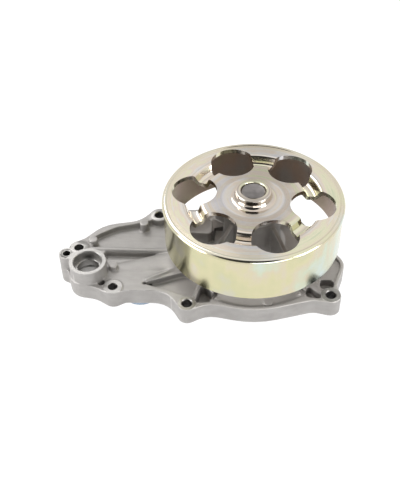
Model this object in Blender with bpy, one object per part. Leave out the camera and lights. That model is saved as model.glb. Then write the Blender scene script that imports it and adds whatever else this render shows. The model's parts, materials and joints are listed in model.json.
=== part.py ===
"""Automotive water pump. The origin is on the shaft axis in the engine face; +Z points to the pulley."""

from math import acos, atan2, ceil, cos, hypot, pi, radians, sin, tau

import bmesh
import bpy
from mathutils import Matrix, Vector

MM = 0.001
GAP = 0.3 * MM  # between touching pieces
FINE = 48  # sides of the large round pieces
COARSE = 28  # sides of the small round pieces

# Flange and bosses
FLANGE_TOP = 12.2 * MM
BOSS_TOP = 12.8 * MM
BOLT_HOLE_R = 3.35 * MM
WALL = 2.4 * MM
SCREW_BOSSES = (  # x, y, boss radius
    (52.6 * MM, -43.5 * MM, 6.8 * MM),
    (-40.2 * MM, -56.0 * MM, 6.2 * MM),
    (-90.3 * MM, -44.0 * MM, 6.6 * MM),
    (-119.3 * MM, -8.2 * MM, 7.0 * MM),
    (-67.1 * MM, 28.7 * MM, 7.0 * MM),
    (8.0 * MM, 48.0 * MM, 6.8 * MM),
)
FRONT_ARC_R = 58.8 * MM
BACK_ARC_R = 44.5 * MM

TROUGH_FLOOR = 7.4 * MM
SHELF_FLOOR = 9.5 * MM
POCKET_FLOOR = 3.5 * MM
ARM_FLOOR = 8.0 * MM
STUBS = (  # x, y, top: cast pads that the ejector pins press on
    (-110.3 * MM, -1.4 * MM, 15.0 * MM),
    (-92.5 * MM, -26.4 * MM, 16.0 * MM),
    (-76.8 * MM, 17.5 * MM, 15.0 * MM),
)
STUB_R = 3.1 * MM

# Big boss and the small lug beside it, at the arm's outer end
BIG_BOSS = (-108.3 * MM, -31.0 * MM)
BIG_BOSS_R = 12.3 * MM
BIG_BOSS_TOP = 22.5 * MM
COUNTERBORE_R = 9.4 * MM
COUNTERBORE_FLOOR = 17.5 * MM
BIG_BORE_R = 6.9 * MM
LUG = (-123.6 * MM, -24.3 * MM)
LUG_R = 5.4 * MM
LUG_HOLE_R = 2.7 * MM

# Bearing and shaft
SHAFT_R = 7.95 * MM
SHAFT_TOP = 62.0 * MM
SHAFT_BOTTOM = -20.3 * MM
BEARING_R = 15.0 * MM
BEARING_BOTTOM = 12.3 * MM
BEARING_TOP = 46.9 * MM
BEARING_BOSS_R = 19.0 * MM
BEARING_BOSS_TOP = 47.2 * MM
BEARING_LAND_R = 12.2 * MM
BALLS = 7
BALL_R = 2.75 * MM
BALL_CIRCLE_R = 10.3 * MM
RACE_GAP = 0.15 * MM
ROW_HEIGHTS = {"rear": 20.5 * MM, "front": 38.7 * MM}

# Water seal
SEAL_BORE_R = 15.0 * MM
SEAL_BORE_BOTTOM = 3.0 * MM
SEAL_BORE_TOP = 9.0 * MM
WEEP_R = 12.5 * MM

# Pulley
LIP_R = 60.0 * MM
BELT_FACE_R = 59.3 * MM
RIM_BOTTOM = 22.9 * MM
WEB_TOP = 56.3 * MM
SHEET = 2.9 * MM
COLLAR_R = 11.8 * MM
COLLAR_TOP = 62.4 * MM
GROOVE_FLOOR = 50.6 * MM
HOLE_CIRCLE_R = 39.4 * MM
HOLE_R = 15.0 * MM
HOLES = 6
HOLE_PHASE = radians(-7.9)

# Coolant port under the arm
PORT = (-74.0 * MM, -30.4 * MM)
SLEEVE_R = 13.0 * MM
SLEEVE_BOTTOM = -4.6 * MM
PORT_SEAT_TOP = 5.0 * MM
SLEEVE_NECK_R = 11.3 * MM
NECK_BOTTOM = -2.4 * MM
NECK_TOP = 0.2 * MM
DUCT_TOP = 25.0 * MM

# Impeller
VANES = 7
IMPELLER_R = 32.0 * MM
VANE_BOTTOM = -18.5 * MM
DISC_TOP = -7.5 * MM
DISC_BOTTOM = -9.0 * MM
HUB_R = 11.9 * MM
HUB_BOTTOM = -19.5 * MM
HUB_SPIGOT_R = 10.7 * MM
CHAMBER_R = 36.5 * MM


# ---------------------------------------------------------------- tools


def clear_scene():
    for obj in list(bpy.data.objects):
        bpy.data.objects.remove(obj, do_unlink=True)


def material(name, color, roughness, metallic):
    mat = bpy.data.materials.new(name)
    mat.use_nodes = True
    shader = mat.node_tree.nodes["Principled BSDF"]
    shader.inputs["Base Color"].default_value = (*color, 1.0)
    shader.inputs["Roughness"].default_value = roughness
    shader.inputs["Metallic"].default_value = metallic
    return mat


def add(name, bm, mat=None, sharp=35.0):
    """Makes an object of a bmesh and shades it smooth up to the sharp angle."""
    bmesh.ops.recalc_face_normals(bm, faces=bm.faces)
    mesh = bpy.data.meshes.new(name)
    bm.to_mesh(mesh)
    bm.free()
    mesh.shade_smooth()
    mesh.set_sharp_from_angle(angle=radians(sharp))
    obj = bpy.data.objects.new(name, mesh)
    bpy.context.scene.collection.objects.link(obj)
    if mat:
        mesh.materials.append(mat)
    return obj


def prism_bm(points, bottom, top):
    bm = bmesh.new()
    low = [bm.verts.new((x, y, bottom)) for x, y in points]
    face = bm.faces.new(low)
    raised = bmesh.ops.extrude_face_region(bm, geom=[face])["geom"]
    verts = [item for item in raised if isinstance(item, bmesh.types.BMVert)]
    bmesh.ops.translate(bm, vec=(0, 0, top - bottom), verts=verts)
    return bm


def turned_bm(profile, steps, center=(0.0, 0.0)):
    """Turns a closed outline of (radius, height) points round a vertical axis through center."""
    bm = bmesh.new()
    rings = []
    for step in range(steps):
        angle = tau * step / steps
        ring = []
        for r, z in profile:
            ring.append(bm.verts.new((center[0] + r * cos(angle), center[1] + r * sin(angle), z)))
        rings.append(ring)
    for step in range(steps):
        here = rings[step]
        there = rings[(step + 1) % steps]
        for i in range(len(profile)):
            j = (i + 1) % len(profile)
            bm.faces.new((here[i], here[j], there[j], there[i]))
    return bm


def sector_bm(profile, start, end, steps):
    """Turns a closed section round the shaft axis from one angle to another, in degrees."""
    bm = bmesh.new()
    rings = []
    for step in range(steps + 1):
        angle = radians(start + (end - start) * step / steps)
        rings.append([bm.verts.new((r * cos(angle), r * sin(angle), z)) for r, z in profile])
    for here, there in zip(rings, rings[1:]):
        for i in range(len(profile)):
            j = (i + 1) % len(profile)
            bm.faces.new((here[i], here[j], there[j], there[i]))
    bm.faces.new(rings[0][::-1])
    bm.faces.new(rings[-1])
    return bm


def rod_bm(profile, steps, center=(0.0, 0.0)):
    """A solid of revolution: profile runs up the outside from the lower to the upper end face."""
    bm = bmesh.new()
    rings = []
    for r, z in profile:
        ring = []
        for step in range(steps):
            angle = tau * step / steps
            ring.append(bm.verts.new((center[0] + r * cos(angle), center[1] + r * sin(angle), z)))
        rings.append(ring)
    for low, high in zip(rings, rings[1:]):
        for step in range(steps):
            j = (step + 1) % steps
            bm.faces.new((low[step], low[j], high[j], high[step]))
    bm.faces.new(rings[0][::-1])
    bm.faces.new(rings[-1])
    return bm


def cylinder_bm(center, radius, bottom, top, steps=20):
    return rod_bm([(radius, bottom), (radius, top)], steps, center)


def tube_between_bm(start, end, start_r, end_r, steps=16):
    """A round bar, or a cone, from one point to another."""
    start = Vector(start)
    end = Vector(end)
    along = end - start
    bm = bmesh.new()
    bmesh.ops.create_cone(
        bm, cap_ends=True, segments=steps, radius1=start_r, radius2=end_r, depth=along.length
    )
    turn = along.to_track_quat("Z", "Y").to_matrix().to_4x4()
    bmesh.ops.transform(bm, matrix=Matrix.Translation((start + end) / 2) @ turn, verts=bm.verts)
    return bm


def slab_bm(start, end, width, bottom, top):
    """An upright wall between two plan points."""
    dx = end[0] - start[0]
    dy = end[1] - start[1]
    length = hypot(dx, dy)
    nx = -dy / length * width / 2
    ny = dx / length * width / 2
    points = [
        (start[0] - nx, start[1] - ny),
        (end[0] - nx, end[1] - ny),
        (end[0] + nx, end[1] + ny),
        (start[0] + nx, start[1] + ny),
    ]
    return prism_bm(points, bottom, top)


def ridge_bm(start, end, half_widths, rises, bottom, pieces=6):
    """An upright wall with an arched top; start and end lie at the arch's feet, in the middle."""
    along = (Vector(end) - Vector(start)).normalized()
    across = Vector((-along.y, along.x, 0)).normalized()
    bm = bmesh.new()
    sections = []
    for point, half, rise in zip((Vector(start), Vector(end)), half_widths, rises):
        foot = Vector((point.x, point.y, bottom))
        section = [bm.verts.new(foot + across * half)]
        for k in range(pieces + 1):
            angle = pi * k / pieces
            lift = Vector((0, 0, rise * sin(angle)))
            section.append(bm.verts.new(point + across * half * cos(angle) + lift))
        section.append(bm.verts.new(foot - across * half))
        sections.append(section)
    first, last = sections
    for i in range(len(first)):
        j = (i + 1) % len(first)
        bm.faces.new((first[i], first[j], last[j], last[i]))
    bm.faces.new(first[::-1])
    bm.faces.new(last)
    return bm


def gusset_bm(angle, reach, bottom, crest, thickness):
    """A radial wall between two radii, reach, whose crest falls from the first height to the second."""
    outward = Vector((cos(angle), sin(angle), 0))
    across = Vector((-sin(angle), cos(angle), 0)) * thickness / 2
    bm = bmesh.new()
    corners = [(reach[0], bottom), (reach[1], bottom), (reach[1], crest[1]), (reach[0], crest[0])]
    sides = []
    for side in (-1, 1):
        sides.append(
            [bm.verts.new(outward * r + across * side + Vector((0, 0, z))) for r, z in corners]
        )
    near, far = sides
    for i in range(4):
        j = (i + 1) % 4
        bm.faces.new((near[i], near[j], far[j], far[i]))
    bm.faces.new(near[::-1])
    bm.faces.new(far)
    return bm


def combine(target, tools, operation):
    """Joins hidden tool solids to the target, or cuts them from it, one after another."""
    for tool in tools:
        tool.hide_render = True
        tool.display_type = "WIRE"
        modifier = target.modifiers.new(tool.name, "BOOLEAN")
        modifier.operation = operation
        modifier.solver = "EXACT"
        modifier.object = tool
    return target


def outline(circles, shrink=0.0, spacing=radians(15)):
    """A closed plan outline that rolls round circles (x, y, radius) and joins them by tangent lines.

    A positive radius is a convex corner of the outline and a negative one a hollow. The circles follow
    the outline anticlockwise. shrink moves the whole outline inwards.
    """
    rolled = [(x, y, r - shrink) for x, y, r in circles]
    count = len(rolled)
    normals = []
    for i in range(count):
        x1, y1, r1 = rolled[i]
        x2, y2, r2 = rolled[(i + 1) % count]
        apart = hypot(x2 - x1, y2 - y1)
        normals.append(atan2(y2 - y1, x2 - x1) + acos((r2 - r1) / apart))
    points = []
    for i in range(count):
        x, y, r = rolled[i]
        first = normals[i - 1]
        turn = (normals[i] - first) % tau
        if r < 0:
            turn -= tau
        pieces = max(1, ceil(abs(turn) / spacing))
        if abs(r) > 30 * MM:
            pieces *= 2
        for k in range(pieces + 1):
            angle = first + turn * k / pieces
            points.append((x - r * cos(angle), y - r * sin(angle)))
    return points


def polar(radius, angle):
    return (radius * cos(angle), radius * sin(angle))


def arc(center, radius, start, end, pieces):
    """Points of a plan or profile arc, its ends included; the angles are in degrees."""
    return [
        (
            center[0] + radius * cos(radians(start + (end - start) * k / pieces)),
            center[1] + radius * sin(radians(start + (end - start) * k / pieces)),
        )
        for k in range(pieces + 1)
    ]


# ---------------------------------------------------------------- housing


def flange_circles():
    right, front, left, far_left, middle_back, back = SCREW_BOSSES
    return [
        right,
        (61.6 * MM, -34.6 * MM, -4.2 * MM),
        (50.5 * MM, -15.0 * MM, 12.2 * MM),
        (0.0, 0.0, BACK_ARC_R),
        back,
        (-47.0 * MM, 75.0 * MM, -39.0 * MM),
        middle_back,
        (-90.3 * MM, 37.2 * MM, -16.6 * MM),
        (-92.0 * MM, -4.6 * MM, 23.7 * MM),
        (-121.5 * MM, 7.5 * MM, -7.0 * MM),
        far_left,
        (-128.6 * MM, -16.0 * MM, -3.0 * MM),
        (*LUG, LUG_R),
        (-124.0 * MM, -32.0 * MM, -1.8 * MM),
        (-109.3 * MM, -31.3 * MM, 12.2 * MM),
        (-107.3 * MM, -58.8 * MM, -14.9 * MM),
        left,
        (-80.3 * MM, -52.4 * MM, -6.0 * MM),
        (-63.5 * MM, -63.0 * MM, -17.3 * MM),
        front,
        (-23.5 * MM, -72.8 * MM, -17.0 * MM),
        (0.0, 0.0, FRONT_ARC_R),
        (42.5 * MM, -61.2 * MM, -12.7 * MM),
    ]


def housing_solids():
    """The solids that are joined to the flange plate."""
    parts = []
    for x, y, r in SCREW_BOSSES:
        parts.append(add("boss_body", cylinder_bm((x, y), r - 0.2 * MM, 1 * MM, BOSS_TOP, 24)))
    ring = [(BIG_BOSS_R, 2 * MM), (BIG_BOSS_R, BIG_BOSS_TOP - 0.4 * MM)]
    ring.append((BIG_BOSS_R - 0.4 * MM, BIG_BOSS_TOP))
    parts.append(add("big_boss_body", rod_bm(ring, 36, BIG_BOSS)))
    lug = [(LUG_R - 0.1 * MM, 1 * MM), (LUG_R - 0.1 * MM, BIG_BOSS_TOP - 0.5 * MM)]
    lug.append((LUG_R - 0.6 * MM, BIG_BOSS_TOP))
    parts.append(add("lug_body", rod_bm(lug, 20, LUG)))
    parts.append(add("lug_web", slab_bm(LUG, BIG_BOSS, 8 * MM, 2 * MM, BIG_BOSS_TOP - 0.8 * MM)))
    for x, y, top in STUBS:
        parts.append(add("stub", cylinder_bm((x, y), STUB_R, 4 * MM, top, 16)))
    parts.append(add("trough_pad", cylinder_bm((12.1 * MM, -49.0 * MM), 3.3 * MM, 4 * MM, 9.8 * MM, 16)))
    return parts + dome_solids() + arm_ridges()


def dome_solids():
    """The volute's dome with the bearing boss on it, the gussets round that, and the duct's end."""
    dome = [(41 * MM, 2 * MM), (41 * MM, 11 * MM), (38 * MM, 14 * MM), (30 * MM, 15.5 * MM)]
    dome += [(23 * MM, 18 * MM), (20 * MM, 23 * MM), (BEARING_BOSS_R, 28 * MM)]
    dome += [(BEARING_BOSS_R, BEARING_BOSS_TOP - 0.6 * MM)]
    dome += [(BEARING_BOSS_R - 0.6 * MM, BEARING_BOSS_TOP)]
    parts = [add("dome", rod_bm(dome, 40))]
    front_reach = (17 * MM, 46 * MM)
    back_reach = (17 * MM, 36 * MM)
    gussets = [(225, front_reach, 15), (315, front_reach, 15)]
    gussets += [(45, back_reach, 18), (135, back_reach, 18)]
    for angle, reach, crest_height in gussets:
        crest = (46 * MM, crest_height * MM)
        parts.append(add("gusset", gusset_bm(radians(angle), reach, 5 * MM, crest, 3.2 * MM)))
    # Sloping flank that fills the front trough up to the dome
    flank = [(30 * MM, 2 * MM), (52 * MM, 2 * MM), (52 * MM, 8.4 * MM), (50.5 * MM, 8.9 * MM)]
    flank += [(41 * MM, 12 * MM), (30 * MM, 12 * MM)]
    parts.append(add("flank", sector_bm(flank, -116, -49, 14)))
    # Walls across the trough, from the dome to the two front screw bosses
    foot = 2 * MM
    height = 8.6 * MM
    rises = (2 * MM, 2 * MM)
    inner = (39.5 * MM, -30.8 * MM, height)
    outer = (51 * MM, -42 * MM, height)
    parts.append(add("right_spoke", ridge_bm(inner, outer, (2.4 * MM, 2.4 * MM), rises, foot)))
    inner = (-33.6 * MM, -37 * MM, height)
    outer = (-37 * MM, -53 * MM, height)
    parts.append(add("front_spoke", ridge_bm(inner, outer, (1.7 * MM, 1.7 * MM), rises, foot)))
    duct = [(-42 * MM, 1.5 * MM, 3.5 * MM), (-30.5 * MM, 1.0 * MM, 3.5 * MM)]
    duct += [(-31 * MM, 9 * MM, 3.5 * MM), (-42 * MM, 10 * MM, 3.5 * MM)]
    parts.append(add("duct_end", prism_bm(outline(duct), 4 * MM, DUCT_TOP)))
    return parts


def arm_ridges():
    """The coolant passage along the arm, the long rib behind it and the slanting rib in front."""
    floor = 3 * MM
    outer = (-92 * MM, -25.6 * MM, 11 * MM)
    inner = (-38 * MM, -14.8 * MM, 11 * MM)
    passage = ridge_bm(outer, inner, (4.0 * MM, 13 * MM), (1.0 * MM, 4.2 * MM), floor, 12)
    outer = (-111 * MM, -8.4 * MM, 10.8 * MM)
    inner = (-36 * MM, -7.8 * MM, 11.4 * MM)
    long_rib = ridge_bm(outer, inner, (2.4 * MM, 2.4 * MM), (2.4 * MM, 2.4 * MM), floor)
    outer = (-69.8 * MM, -36.6 * MM, 11.1 * MM)
    inner = (-40 * MM, -17.8 * MM, 11.4 * MM)
    slant = ridge_bm(outer, inner, (1.8 * MM, 2.0 * MM), (1.9 * MM, 2.6 * MM), floor)
    return [add("passage", passage), add("long_rib", long_rib), add("slant_rib", slant)]


def housing_pockets():
    """The solids that are cut from the flange plate before anything is joined to it."""
    cuts = []
    # Trough between the dome and the outer wall, in two arcs either side of the arm
    trough = arc((0, 0), FRONT_ARC_R - WALL, -118, -46, 14)
    trough += arc((0, 0), 30 * MM, -46, -118, 8)
    cuts.append(add("trough_front", prism_bm(trough, TROUGH_FLOOR, 20 * MM)))
    right = [(51.0 * MM, -32.6 * MM, 4.0 * MM), (50.5 * MM, -15.0 * MM, 9.8 * MM)]
    right += [(30 * MM, 5 * MM, 9 * MM), (28 * MM, -28 * MM, 6 * MM), (43.5 * MM, -42.0 * MM, 2.4 * MM)]
    cuts.append(add("shelf_right", prism_bm(outline(right), SHELF_FLOOR, 20 * MM)))
    # Deep pockets either side of the right spoke, and one beside the front spoke
    first = [(52.4 * MM, -34.2 * MM, 2.6 * MM), (52.8 * MM, -29.6 * MM, 2.6 * MM)]
    first += [(48.4 * MM, -29.0 * MM, 2.0 * MM), (48.4 * MM, -32.6 * MM, 2.2 * MM)]
    second = [(44.2 * MM, -44.0 * MM, 2.3 * MM), (44.0 * MM, -41.0 * MM, 2.0 * MM)]
    second += [(39.2 * MM, -36.4 * MM, 2.0 * MM), (38.9 * MM, -43.6 * MM, 2.2 * MM)]
    third = [(-27.4 * MM, -51.6 * MM, 2.2 * MM), (-26.8 * MM, -45.6 * MM, 2.0 * MM)]
    third += [(-30.6 * MM, -41.0 * MM, 2.0 * MM), (-33.2 * MM, -52.4 * MM, 1.9 * MM)]
    for circles in (first, second, third):
        cuts.append(add("deep_pocket", prism_bm(outline(circles), POCKET_FLOOR, 20 * MM)))
    # Sunk floor of the arm behind the long rib
    arm = [(-44 * MM, -4 * MM, 3 * MM), (-42 * MM, 22 * MM, 4 * MM), (-60 * MM, 25.5 * MM, 2.5 * MM)]
    arm += [(-90.3 * MM, 37.2 * MM, -19.6 * MM), (-90 * MM, 2 * MM, 14.2 * MM)]
    arm += [(-101.5 * MM, -0.5 * MM, 9.5 * MM), (-107 * MM, -7 * MM, 2 * MM)]
    cuts.append(add("pocket_arm", prism_bm(outline(arm), ARM_FLOOR, 20 * MM)))
    # Valley between the long rib and the passage
    shallow = [(-95 * MM, -20.5 * MM, 3.2 * MM), (-50 * MM, -12.4 * MM, 2.4 * MM)]
    shallow += [(-50 * MM, -12 * MM, 2.4 * MM), (-98 * MM, -12.6 * MM, 3.0 * MM)]
    cuts.append(add("valley_side", prism_bm(outline(shallow), SHELF_FLOOR + 1 * MM, 20 * MM)))
    deep = [(-97 * MM, -13.6 * MM, 2.8 * MM), (-56 * MM, -11.8 * MM, 1.6 * MM)]
    deep += [(-56 * MM, -11.4 * MM, 1.6 * MM), (-98 * MM, -12.4 * MM, 2.8 * MM)]
    cuts.append(add("valley_bottom", prism_bm(outline(deep), ARM_FLOOR, 20 * MM)))
    # Triangular floor behind the front wall
    front = [(-38.0 * MM, -47.4 * MM, 2.2 * MM), (-36.4 * MM, -27 * MM, 3 * MM)]
    front += [(-67.2 * MM, -38.8 * MM, 1.6 * MM), (-63.5 * MM, -63.0 * MM, -20.5 * MM)]
    cuts.append(add("pocket_front", prism_bm(outline(front), 7.5 * MM, 20 * MM)))
    cuts.append(add("notch", cylinder_bm((-98.7 * MM, -39.8 * MM), 2.6 * MM, 7.5 * MM, 20 * MM, 14)))
    cuts.append(add("dimple", cylinder_bm((-69.9 * MM, -38.9 * MM), 1.3 * MM, 8.5 * MM, 20 * MM, 10)))
    return cuts


def housing_bores():
    """The solids cut from the whole casting: bores, screw holes and the hollows of the engine face."""
    machined = [(-150 * MM, -80 * MM), (80 * MM, -80 * MM), (80 * MM, 70 * MM), (-150 * MM, 70 * MM)]
    cuts = [add("engine_face_cut", prism_bm(machined, -30 * MM, 0.0))]
    for x, y, _ in SCREW_BOSSES:
        cuts.append(add("screw_hole", cylinder_bm((x, y), BOLT_HOLE_R, -5 * MM, 20 * MM, 20)))
    cuts.append(add("lug_hole", cylinder_bm(LUG, LUG_HOLE_R, -5 * MM, 30 * MM, 16)))
    bore = [(BIG_BORE_R, -5 * MM), (BIG_BORE_R, 10 * MM), (BIG_BORE_R + 0.9 * MM, 10.5 * MM)]
    bore += [(BIG_BORE_R + 0.9 * MM, 12.5 * MM), (BIG_BORE_R, 13 * MM), (BIG_BORE_R, COUNTERBORE_FLOOR)]
    bore += [(COUNTERBORE_R, COUNTERBORE_FLOOR), (COUNTERBORE_R, 22.0 * MM)]
    bore.append((COUNTERBORE_R + 1.0 * MM, 23 * MM))
    cuts.append(add("big_bore", rod_bm(bore, 32, BIG_BOSS)))
    step = BEARING_BOTTOM - GAP
    middle = [(SEAL_BORE_R, -2 * MM), (SEAL_BORE_R, SEAL_BORE_TOP), (WEEP_R, SEAL_BORE_TOP)]
    middle += [(WEEP_R, step), (BEARING_R + GAP, step), (BEARING_R + GAP, 50 * MM)]
    cuts.append(add("middle_bore", rod_bm(middle, 40)))
    cuts.append(add("chamber", cylinder_bm((0, 0), CHAMBER_R, -5 * MM, SEAL_BORE_BOTTOM, 48)))
    volute = [(22 * MM, -4 * MM), (22 * MM, 5 * MM), (25 * MM, 9 * MM)]
    volute += [(33 * MM, 9 * MM), (36 * MM, 5 * MM), (36 * MM, -4 * MM)]
    cuts.append(add("volute", turned_bm(volute, 40)))
    seat = [(SLEEVE_R + GAP, -5 * MM), (SLEEVE_R + GAP, PORT_SEAT_TOP)]
    seat += [(10.3 * MM, PORT_SEAT_TOP), (10.3 * MM, 8.5 * MM)]
    cuts.append(add("port_seat", rod_bm(seat, 32, PORT)))
    port_end = (-70 * MM, -29.6 * MM, 5.5 * MM)
    volute_end = (-29 * MM, -13 * MM, 5.5 * MM)
    passage = tube_between_bm(port_end, volute_end, 4 * MM, 4 * MM, 14)
    cuts.append(add("port_passage", passage))
    # Slot between the duct's end and the bearing boss
    slot = slab_bm((-23.2 * MM, -1 * MM), (-23.2 * MM, 14 * MM), 6.4 * MM, FLANGE_TOP, 30 * MM)
    cuts.append(add("slot", slot))
    # Weep hole from the space between bearing and water seal to the open air
    weep = tube_between_bm((0, -10 * MM, 10.6 * MM), (0, -50 * MM, 10.6 * MM), 1.1 * MM, 1.1 * MM, 8)
    cuts.append(add("weep_hole", weep))
    # Core pocket under the arm, inside the sealing face
    core = [(-57 * MM, -4 * MM, 3 * MM), (-56 * MM, 13 * MM, 4 * MM), (-66 * MM, 14 * MM, 3 * MM)]
    core += [(-92 * MM, 5 * MM, 6 * MM), (-103 * MM, -7 * MM, 3 * MM)]
    cuts.append(add("core_pocket", prism_bm(outline(core), -5 * MM, 4.5 * MM)))
    groove = outline(seal_circles(), -0.3 * MM, radians(15))
    groove_inner = outline(seal_circles(), 2.9 * MM, radians(15))
    cuts.append(add("seal_groove", band_bm(groove, groove_inner, -4 * MM, 2.2 * MM)))
    return cuts


def seal_circles():
    """The outer edge of the rubber seal in the engine face: round the impeller chamber."""
    return [
        (0.0, 0.0, 41.5 * MM),
        (-8.0 * MM, -3.0 * MM, 41.5 * MM),
    ]


def band_bm(outer, inner, bottom, top):
    """A closed band between two outlines that have the same number of points."""
    bm = bmesh.new()
    count = len(outer)
    rows = []
    for points, height in ((outer, bottom), (outer, top), (inner, top), (inner, bottom)):
        rows.append([bm.verts.new((x, y, height)) for x, y in points])
    for row in range(4):
        here = rows[row]
        there = rows[(row + 1) % 4]
        for i in range(count):
            j = (i + 1) % count
            bm.faces.new((here[i], here[j], there[j], there[i]))
    return bm


def pump_housing(mat):
    plate = add("pump_housing", prism_bm(outline(flange_circles()), -1 * MM, FLANGE_TOP), mat)
    combine(plate, housing_pockets(), "DIFFERENCE")
    combine(plate, housing_solids(), "UNION")
    combine(plate, housing_bores(), "DIFFERENCE")
    return plate


# ---------------------------------------------------------------- pulley and shaft


def pulley_profile():
    """The pressed sheet's section, from the collar's bore outwards over the top and back underneath."""
    low = WEB_TOP - SHEET
    bore = SHAFT_R + GAP
    top = [(bore, low), (bore, COLLAR_TOP - 0.6 * MM), (bore + 0.6 * MM, COLLAR_TOP)]
    top += arc((COLLAR_R - 0.6 * MM, COLLAR_TOP - 0.6 * MM), 0.6 * MM, 90, 0, 1)
    top += arc((COLLAR_R + 3.5 * MM, WEB_TOP + 3.5 * MM), 3.5 * MM, 180, 270, 3)
    top += arc((33.0 * MM, WEB_TOP - 3.0 * MM), 3.0 * MM, 90, 36, 2)
    top += arc((38.6 * MM, GROOVE_FLOOR + 2.5 * MM), 2.5 * MM, 216, 270, 1)
    top += arc((40.8 * MM, GROOVE_FLOOR + 2.5 * MM), 2.5 * MM, 270, 336, 1)
    top += arc((46.4 * MM, WEB_TOP - 2.0 * MM), 2.0 * MM, 156, 90, 2)
    top += arc((LIP_R - 2.2 * MM, WEB_TOP - 2.2 * MM), 2.2 * MM, 90, 0, 3)
    outside = [(LIP_R, 52.9 * MM), (BELT_FACE_R, 52.2 * MM), (BELT_FACE_R, RIM_BOTTOM)]
    inside = [(BELT_FACE_R - SHEET, RIM_BOTTOM)]
    inside += arc((BELT_FACE_R - SHEET - 2.0 * MM, low - 2.0 * MM), 2.0 * MM, 0, 90, 2)
    inside += arc((47.6 * MM, low - 2.0 * MM), 2.0 * MM, 90, 150, 1)
    inside += arc((41.4 * MM, GROOVE_FLOOR - SHEET + 2.5 * MM), 2.5 * MM, 330, 270, 1)
    inside += arc((38.0 * MM, GROOVE_FLOOR - SHEET + 2.5 * MM), 2.5 * MM, 270, 216, 1)
    inside += arc((31.6 * MM, low - 2.5 * MM), 2.5 * MM, 36, 90, 1)
    return top + outside + inside


def pulley(mat):
    cup = add("pulley", turned_bm(pulley_profile(), FINE), mat)
    cutters = []
    for k in range(HOLES):
        center = polar(HOLE_CIRCLE_R, HOLE_PHASE + k * tau / HOLES)
        cutters.append(add("pulley_hole", cylinder_bm(center, HOLE_R, 40 * MM, 62 * MM, 24)))
    return combine(cup, cutters, "DIFFERENCE")


def race(height, land_r, outward, pieces=4):
    """The section of a ball groove at a height, from below to above."""
    radius = BALL_R + RACE_GAP
    side = 1 if outward else -1
    half = acos(side * (land_r - BALL_CIRCLE_R) / radius)
    points = []
    for k in range(pieces + 1):
        angle = -half + 2 * half * k / pieces
        points.append((BALL_CIRCLE_R + side * radius * cos(angle), height + radius * sin(angle)))
    return points


def pump_shaft(mat):
    profile = [(SHAFT_R - 0.5 * MM, SHAFT_BOTTOM), (SHAFT_R, SHAFT_BOTTOM + 0.5 * MM)]
    for row in ("rear", "front"):
        profile += race(ROW_HEIGHTS[row], SHAFT_R, False)
    profile += [(SHAFT_R, SHAFT_TOP - 0.7 * MM), (SHAFT_R - 0.7 * MM, SHAFT_TOP)]
    return add("pump_shaft", rod_bm(profile, 36), mat)


# ---------------------------------------------------------------- bearing


def bearing_outer_ring(mat):
    profile = [(BEARING_LAND_R, BEARING_BOTTOM)]
    for row in ("rear", "front"):
        profile += race(ROW_HEIGHTS[row], BEARING_LAND_R, True)
    profile += [(BEARING_LAND_R, BEARING_TOP), (BEARING_R - 0.5 * MM, BEARING_TOP)]
    profile += [(BEARING_R, BEARING_TOP - 0.5 * MM)]
    profile += [(BEARING_R, BEARING_BOTTOM + 0.5 * MM), (BEARING_R - 0.5 * MM, BEARING_BOTTOM)]
    return add("bearing_outer_ring", turned_bm(profile, 36), mat)


def ball_row(row, mat):
    """The balls of one row; they share a mesh, and each turns with the row's cage."""
    bm = bmesh.new()
    bmesh.ops.create_uvsphere(bm, u_segments=10, v_segments=6, radius=BALL_R)
    first = add(f"{row}_ball_1", bm, mat, 60)
    balls = [first]
    for k in range(1, BALLS):
        ball = bpy.data.objects.new(f"{row}_ball_{k + 1}", first.data)
        bpy.context.scene.collection.objects.link(ball)
        balls.append(ball)
    pivot = bpy.data.objects.new(f"{row}_row_axis", None)
    bpy.context.scene.collection.objects.link(pivot)
    for k, ball in enumerate(balls):
        x, y = polar(BALL_CIRCLE_R, k * tau / BALLS)
        ball.location = (x, y, ROW_HEIGHTS[row])
        ball.rotation_euler = (0, 0, k * tau / BALLS)
        ball.parent = pivot


def ball_cage(row, mat):
    """A crown cage: a ring with a round pocket for each ball, open on one side."""
    height = ROW_HEIGHTS[row]
    side = 1 if row == "front" else -1
    low = height - side * 1.9 * MM
    high = height + side * 3.8 * MM
    bottom = min(low, high)
    top = max(low, high)
    ring = [(9.0 * MM, bottom), (11.6 * MM, bottom), (11.6 * MM, top), (9.0 * MM, top)]
    cage = add(f"{row}_cage", turned_bm(ring, COARSE), mat)
    pockets = []
    for k in range(BALLS):
        bm = bmesh.new()
        bmesh.ops.create_uvsphere(bm, u_segments=10, v_segments=6, radius=BALL_R + 0.4 * MM)
        pocket = add("cage_pocket", bm)
        x, y = polar(BALL_CIRCLE_R, k * tau / BALLS)
        pocket.location = (x, y, height)
        pocket.rotation_euler = (0, 0, k * tau / BALLS)
        pockets.append(pocket)
    return combine(cage, pockets, "DIFFERENCE")


def bearing_seal(name, height, mat):
    inner = SHAFT_R + GAP
    outer = 11.9 * MM
    profile = [(inner, height), (outer, height), (outer, height + 1.1 * MM), (inner, height + 1.1 * MM)]
    return add(name, turned_bm(profile, COARSE), mat)


def slinger(mat):
    inner = SHAFT_R + GAP
    profile = [(inner, 9.6 * MM), (inner + 0.8 * MM, 9.6 * MM), (inner + 0.8 * MM, 10.2 * MM)]
    profile += [(11.6 * MM, 10.2 * MM), (11.9 * MM, 9.8 * MM), (11.9 * MM, 10.8 * MM), (inner, 10.8 * MM)]
    return add("slinger", turned_bm(profile, COARSE), mat)


# ---------------------------------------------------------------- water seal


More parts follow.
